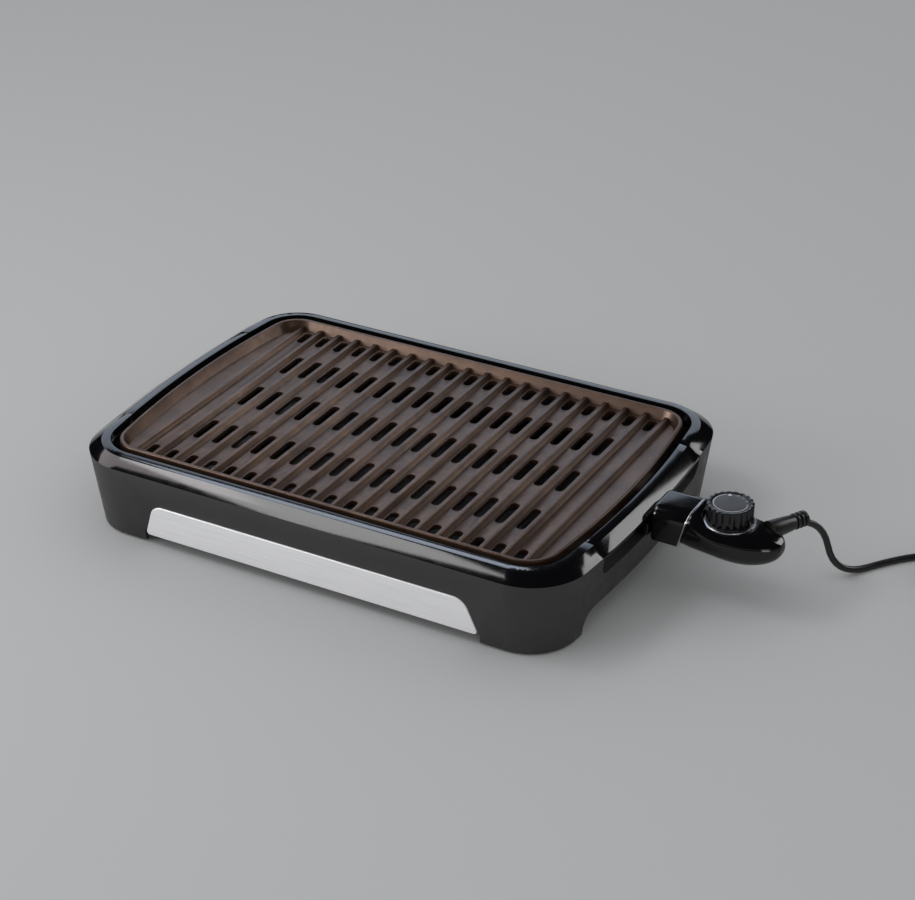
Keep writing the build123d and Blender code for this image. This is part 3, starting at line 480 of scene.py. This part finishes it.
class GriddleDial(bpy.types.Operator):
    """Fluted dial with its face and printed marks"""
    bl_idname = "griddle.dial"
    bl_label = "Dial"

    RADIUS = 18.8 * MM
    FLANGE = 1.2 * MM                    # height of the round flange under the grip
    WALL = 3.4 * MM                      # width of the grip's top edge
    WELL = 1.1 * MM                      # depth of the well that the face lies in
    STEP = 6                             # sides of the grip to each flute
    HOLLOW = (((0,), 1.0), ((1, STEP - 1), 0.55))     # sides of a hollow, and their share of its depth
    RING_R = 13.6 * MM                   # printed ring
    GAP = (66, 58)                       # middle and half width of the ring's gap, in degrees
    TICKS = (14, 38, 62, 86)             # degrees of the graduations
    TICK_R = 12.9 * MM
    POINTER_R = 12.4 * MM

    def knob(self):
        """Grip with hollows between its flutes, over a thin round flange."""
        low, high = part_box("dial_knob")
        count = sizes().flutes * self.STEP
        bpy.ops.object.select_all(action="DESELECT")
        bpy.ops.mesh.primitive_cylinder_add(vertices=count, radius=self.RADIUS, end_fill_type="NGON",
                                            depth=high.z - low.z - self.FLANGE,
                                            location=(DIAL.x, DIAL.y,
                                                      (high.z + low.z + self.FLANGE) / 2))
        grip = bpy.context.object
        bpy.ops.object.transform_apply(location=True, rotation=True, scale=True)
        bpy.ops.object.mode_set(mode="EDIT")
        select_where(grip, lambda face: face.normal.z > 0.9, "FACE")
        bpy.ops.mesh.inset(thickness=self.WALL)
        bpy.ops.mesh.extrude_region_move(TRANSFORM_OT_translate={"value": (0, 0, -self.WELL)})
        for sides, share in self.HOLLOW:
            def in_hollow(vertex, sides=sides):
                across = vertex.co - DIAL
                side = round(atan2(across.y, across.x) / (2 * pi) * count) % self.STEP
                return hypot(across.x, across.y) > self.RADIUS * 0.97 and side in sides
            select_where(grip, in_hollow)
            shrink = 1 - sizes().flute_depth * share / self.RADIUS
            bpy.ops.transform.resize(value=(shrink, shrink, 1), center_override=DIAL)
        bpy.ops.object.mode_set(mode="OBJECT")
        round_edges(grip, 0.3 * MM, angle=35)
        flange = turned(((0, 17.6 * MM), (0.01 * MM, 19.4 * MM), (0.9 * MM, 19.4 * MM),
                         (self.FLANGE, 18.0 * MM)),
                        (DIAL.x, DIAL.y, low.z), (0, 0, 1), vertices=96)
        pick(flange)
        grip.select_set(True)
        bpy.context.view_layer.objects.active = grip
        bpy.ops.object.join()
        settle(grip, "dial_grip", "dial", "dial_plastic", "dial_knob", smooth=35)

    def face(self):
        """Slightly domed disc in the grip's top."""
        low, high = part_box("dial_cap")
        radius = (high.x - low.x) / 2
        disc = turned(((0, radius - 0.4 * MM), (0.4 * MM, radius), (0.8 * MM, radius - 0.3 * MM),
                       (0.95 * MM, radius * 0.8), (1.0 * MM, radius * 0.4)),
                      (DIAL.x, DIAL.y, low.z), (0, 0, 1), vertices=96)
        settle(disc, "dial_disc", "dial", "dial_face", "dial_cap")
        return high.z

    def round_dial(self, radius, turn, height):
        """A point at a radius and an angle in degrees round the dial's axis."""
        return (DIAL.x + radius * cos(radians(turn)), DIAL.y + radius * sin(radians(turn)), height)

    def marks(self, top):
        """Printed ring with a gap, graduations inside it and a pointer in the gap."""
        bpy.ops.object.select_all(action="DESELECT")
        bpy.ops.mesh.primitive_torus_add(major_radius=self.RING_R, minor_radius=0.3 * MM,
                                         major_segments=96, minor_segments=8,
                                         location=(DIAL.x, DIAL.y, top))
        ring = bpy.context.object
        bpy.ops.object.transform_apply(location=True, rotation=True, scale=True)
        bpy.ops.object.mode_set(mode="EDIT")

        def in_gap(vertex):
            across = vertex.co - DIAL
            return abs(degrees(atan2(across.y, across.x)) - self.GAP[0]) < self.GAP[1]
        select_where(ring, in_gap)
        bpy.ops.mesh.delete(type="VERT")
        bpy.ops.mesh.select_all(action="SELECT")
        bpy.ops.mesh.region_to_loop()
        bpy.ops.mesh.edge_face_add()
        bpy.ops.mesh.select_all(action="SELECT")
        bpy.ops.transform.resize(value=(1, 1, 0.5), center_override=(DIAL.x, DIAL.y, top))
        bpy.ops.object.mode_set(mode="OBJECT")
        parts = [ring]
        for turn in self.TICKS:
            bpy.ops.mesh.primitive_cube_add(size=1, scale=(1.7 * MM, 0.4 * MM, 0.2 * MM),
                                            rotation=(0, 0, radians(turn)),
                                            location=self.round_dial(self.TICK_R, turn, top))
            parts.append(bpy.context.object)
        bpy.ops.mesh.primitive_cylinder_add(vertices=3, radius=2.1 * MM, depth=0.2 * MM,
                                            rotation=(0, 0, radians(POINTER - 90)),
                                            location=self.round_dial(self.POINTER_R, POINTER, top))
        parts.append(bpy.context.object)
        pick(ring)
        for part in parts:
            part.select_set(True)
        bpy.ops.object.join()
        settle(ring, "dial_marks", "dial", "dial_face", finish="printed_marks")

    def execute(self, context):
        self.knob()
        self.marks(self.face())
        return {"FINISHED"}


class GriddleLead(bpy.types.Operator):
    """Lead with its strain relief, coil, tie and plug"""
    bl_idname = "griddle.lead"
    bl_label = "Lead"

    # Millimetres from the middle of the base, and degrees
    START = (333.8, 26.35, 64.43)
    ROUTE = ((349.4, 63.2, 59.0), (364.0, 65.0, 2.8), (402.0, 122.0, 2.8))
    COIL_CENTRE = (464.7, 122.7)
    COIL_START = 121.0                   # where on the coil the lead joins it
    COIL_TURN = COIL_START + 4 * 360     # how far round it goes
    TURN_POINTS = 16                     # spline points to each turn
    COIL_R = 33.0                        # middle of the coil's section
    WRAPS = ((35.9, 2.9), (30.1, 2.9), (30.1, 8.7), (35.9, 8.7), (33.0, 13.5))
    BOOT = ((326.0, 8.0, 66.0), 67.0, 4.5)   # start, heading and droop of the strain relief
    RINGS = (28.1, 32.6, 37.1)           # distance along the strain relief of each ring
    TIE_TURN, TIE_Z = 215, 8.4           # place of the tie round the coil, and its height
    TIE_R, TIE_W = 8.2, 6.0
    TAIL = ((497.7, 92.7, 13.5), (497.7, 78.0, 16.5), (497.7, 66.0, 18.5))

    def place(self, point):
        """A point from the middle of the base in millimetres, in the frame."""
        return Vector((BASE_X + point[0] * MM, point[1] * MM, point[2] * MM))

    def coil_points(self):
        """Turns beside and on each other; each wrap moves over in its last sixth."""
        points = []
        steps = round(self.COIL_TURN / 360 * self.TURN_POINTS)
        for index in range(steps + 1):
            turn = self.COIL_TURN * index / steps
            wrap = min(int(turn // 360), len(self.WRAPS) - 1)
            near = max(0.0, (turn % 360 - 300) / 60)
            after = self.WRAPS[min(wrap + 1, len(self.WRAPS) - 1)]
            radius, height = (a + (b - a) * near for a, b in zip(self.WRAPS[wrap], after))
            angle = radians(self.COIL_START - turn)
            points.append((self.COIL_CENTRE[0] + radius * cos(angle),
                           self.COIL_CENTRE[1] + radius * sin(angle), height))
        return points

    def lead(self, plug_pieces):
        points = [self.START, *self.ROUTE, *self.coil_points(), *self.TAIL]
        curve = bpy.data.curves.new("lead", "CURVE")
        curve.dimensions = "3D"
        curve.bevel_depth = sizes().lead_diameter / 2
        curve.bevel_resolution = 5
        curve.resolution_u = 8
        curve.use_fill_caps = True
        spline = curve.splines.new("NURBS")
        spline.points.add(len(points) - 1)
        for control, point in zip(spline.points, points):
            control.co = (*self.place(point), 1)
        spline.order_u = 3
        spline.use_endpoint_u = True
        lead = bpy.data.objects.new("lead", curve)
        bpy.context.scene.collection.objects.link(lead)
        settle(lead, "lead", "control_probe", "lead_sleeve", "cord_tube", "cord_coil", "cord_tail")

    def strain_relief(self):
        """Tapered sleeve whose end is cut into rings, like a flexible sleeve's; this piece stays rigid.
        """
        start, heading, droop = self.BOOT
        profile = [(0, 8.0), (10, 7.4), (20, 6.7), (26.4, 6.1), (26.8, 4.4), (28.0, 4.4)]
        for run in self.RINGS:
            profile += [(run, 6.2), (run + 0.5, 6.6), (run + 2.5, 6.5), (run + 3.1, 6.0),
                        (run + 3.2, 4.2), (run + 4.4, 4.2)]
        profile += [(41.6, 4.0), (42.0, 3.4), (42.01, 2.9)]
        across = cos(radians(droop))
        direction = (cos(radians(heading)) * across, sin(radians(heading)) * across, -sin(radians(droop)))
        piece = turned([(run * MM, radius * MM) for run, radius in profile], self.place(start), direction)
        round_edges(piece, 0.15 * MM, angle=40)
        settle(piece, "strain_relief_sleeve", "control_probe", "lead_sleeve", "strain_relief")

    def plug(self):
        """Round plug moulded on the lead, with finger grooves, a flat face and its pins."""
        low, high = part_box("plug_body")
        centre = Vector(((low.x + high.x) / 2, high.y, (low.z + high.z) / 2))
        profile = [(0, 4.6), (1, 5.2), (3, 5.2), (3.4, 4.4), (5.0, 4.4), (5.4, 5.6), (7.4, 5.8),
                   (7.8, 4.8), (9.4, 4.8), (9.8, 6.2), (14, 7.2), (20, 11.0), (25, 15.0),
                   (29, 17.0), (33, 17.6), (36, 17.2), (40, 17.4), (43, 18.3), (45.4, 18.4),
                   (46, 17.9)]
        body = turned([(run * MM, radius * MM) for run, radius in profile], centre, (0, -1, 0), 64)
        bpy.ops.object.mode_set(mode="EDIT")
        select_where(body, lambda face: face.normal.y < -0.99 and face.area > 500 * MM * MM, "FACE")
        bpy.ops.mesh.inset(thickness=1.4 * MM)
        bpy.ops.mesh.extrude_region_move(TRANSFORM_OT_translate={"value": (0, 0.4 * MM, 0)})
        bpy.ops.object.mode_set(mode="OBJECT")
        round_edges(body, 0.25 * MM, angle=40)
        settle(body, "plug_moulding", "control_probe", "plug_rubber", "plug_body")
        return [body, "plug_pins", "plug_earth_clips"]

    def tie(self):
        """Soft strap round the coil's turns."""
        angle = radians(self.TIE_TURN)
        middle = self.place((self.COIL_CENTRE[0] + self.COIL_R * cos(angle),
                             self.COIL_CENTRE[1] + self.COIL_R * sin(angle), self.TIE_Z))
        bpy.ops.object.select_all(action="DESELECT")
        bpy.ops.mesh.primitive_cylinder_add(vertices=40, radius=self.TIE_R * MM, depth=self.TIE_W * MM,
                                            end_fill_type="NOTHING", location=middle,
                                            rotation=(pi / 2, 0, angle))
        strap = bpy.context.object
        bpy.ops.object.transform_apply(location=True, rotation=True, scale=True)
        solid = strap.modifiers.new("Thickness", "SOLIDIFY")
        solid.thickness = 1.0 * MM
        solid.offset = 0
        bpy.ops.object.modifier_apply(modifier=solid.name)
        round_edges(strap, 0.3 * MM, angle=40)
        settle(strap, "lead_tie", "control_probe", "lead_sleeve", finish="plug_rubber")
        return strap

    def execute(self, context):
        self.strain_relief()
        self.lead([*self.plug(), self.tie()])
        return {"FINISHED"}


class GriddleFinishes(bpy.types.Operator):
    """Finishes of the pieces whose shape stays as it was engineered"""
    bl_idname = "griddle.finishes"
    bl_label = "Finishes"

    def execute(self, context):
        for node, piece in frame["nodes"].items():
            piece.data.materials.clear()
            piece.data.materials.append(finish_of(SLOT_OF[node]))
        return {"FINISHED"}


class GriddleStudio(bpy.types.Operator):
    """Grey paper floor, soft boxes and the camera"""
    bl_idname = "griddle.studio"
    bl_label = "Studio"

    VIEWPOINT = (BASE_X + 0.8466, -1.4388, 0.9880)
    LOOK_DOWN, LOOK_LEFT = 29.231, 28.903        # degrees
    LENS = 89.26                                 # millimetres on a 36 mm sensor
    SKY = 0.85                                   # strength of the even light all round

    # name, place, aim, width and height in metres, power in watts, colour, lights the matte surfaces
    LIGHTS = (
        ("key", (-0.78, -0.47, 1.40), (-0.15, -0.15, 0.07), 0.62, 0.50, 6.0, "#ffffff", True),
        ("back", (-0.92, 1.06, 1.46), (-0.05, -0.15, 0.07), 0.80, 0.36, 5.0, "#d6e2f4", False),
        ("haze", (-1.0, 1.45, 0.8), (0.1, 0.0, 0.07), 1.9, 0.8, 8.5, "#d0dcee", False),
        ("left", (-1.17, -0.15, 1.06), (-0.2, -0.1, 0.05), 0.9, 0.8, 8.0, "#f0e6ea", False),
        ("side", (1.03, 1.25, 0.75), (0.15, 0.0, 0.05), 0.6, 0.85, 7.0, "#ffffff", False),
        ("front", (1.3, -0.95, 0.22), (0.25, 0.0, 0.05), 0.5, 0.3, 2.6, "#ffffff", False),
        ("low", (-1.6, -1.35, 0.45), (-0.15, -0.2, 0.03), 0.5, 0.4, 22.0, "#ffffff", False),
        ("fill", (-2.1, -2.4, 1.3), (-0.15, -0.2, 0.03), 1.4, 1.0, 24.0, "#ffffff", True),
    )

    def floor(self):
        bpy.ops.object.select_all(action="DESELECT")
        bpy.ops.mesh.primitive_plane_add(size=40, location=(0, 0, 0))
        floor = bpy.context.object
        floor.name = "studio_floor"
        floor.data.materials.append(finish_of("floor_paper"))

    def lights(self):
        for name, place, aim, width, height, power, tone, on_matte in self.LIGHTS:
            lamp = bpy.data.lights.new(name, "AREA")
            lamp.shape = "RECTANGLE"
            lamp.size, lamp.size_y = width, height
            lamp.energy = power
            lamp.color = linear(tone)[:3]
            lamp_object = bpy.data.objects.new(name, lamp)
            lamp_object.location = place
            lamp_object.visible_diffuse = on_matte
            lamp_object.rotation_euler = (Vector(aim) - Vector(place)).to_track_quat("-Z", "Y").to_euler()
            bpy.context.scene.collection.objects.link(lamp_object)
        world = bpy.data.worlds.new("studio")
        world.use_nodes = True
        world.node_tree.nodes["Background"].inputs["Color"].default_value = linear("#ffffff")
        world.node_tree.nodes["Background"].inputs["Strength"].default_value = self.SKY
        world.cycles_visibility.glossy = False     # only the soft boxes and the floor show in the gloss
        bpy.context.scene.world = world
        bpy.context.scene.view_settings.view_transform = "Standard"

    def camera(self):
        camera = bpy.data.cameras.new("camera")
        camera.lens = self.LENS
        camera.sensor_width = 36
        camera.clip_end = 50
        holder = bpy.data.objects.new("camera", camera)
        holder.location = self.VIEWPOINT
        holder.rotation_euler = (radians(90 - self.LOOK_DOWN), 0, radians(self.LOOK_LEFT))
        bpy.context.scene.collection.objects.link(holder)
        bpy.context.scene.camera = holder

    def execute(self, context):
        self.floor()
        self.lights()
        self.camera()
        return {"FINISHED"}


STEPS = (GriddleFinishes, GriddleRim, GriddleSkirt, GriddlePlate, GriddleTray, GriddleControl,
         GriddleDial, GriddleLead, GriddleStudio)


class GriddlePanel(bpy.types.Panel):
    """Lists the griddle's pieces, sizes and colours"""
    bl_idname = "VIEW3D_PT_griddle"
    bl_label = "Electric Griddle"
    bl_space_type = "VIEW_3D"
    bl_region_type = "UI"
    bl_category = "Griddle"

    def draw(self, context):
        for step in STEPS:
            self.layout.operator(step.bl_idname)
        for group in (context.scene.griddle_sizes, context.scene.griddle_colours):
            for name in group.__annotations__:
                self.layout.prop(group, name)


CLASSES = (GriddleSizes, GriddleColours, *STEPS, GriddlePanel)


def register():
    for cls in CLASSES:
        bpy.utils.register_class(cls)
    bpy.types.Scene.griddle_sizes = PointerProperty(type=GriddleSizes)
    bpy.types.Scene.griddle_colours = PointerProperty(type=GriddleColours)


def unregister():
    del bpy.types.Scene.griddle_colours
    del bpy.types.Scene.griddle_sizes
    for cls in reversed(CLASSES):
        bpy.utils.unregister_class(cls)


def main():
    register()
    for step in STEPS:
        getattr(bpy.ops.griddle, step.bl_idname.split(".")[1])()


if __name__ == "__main__":
    main()
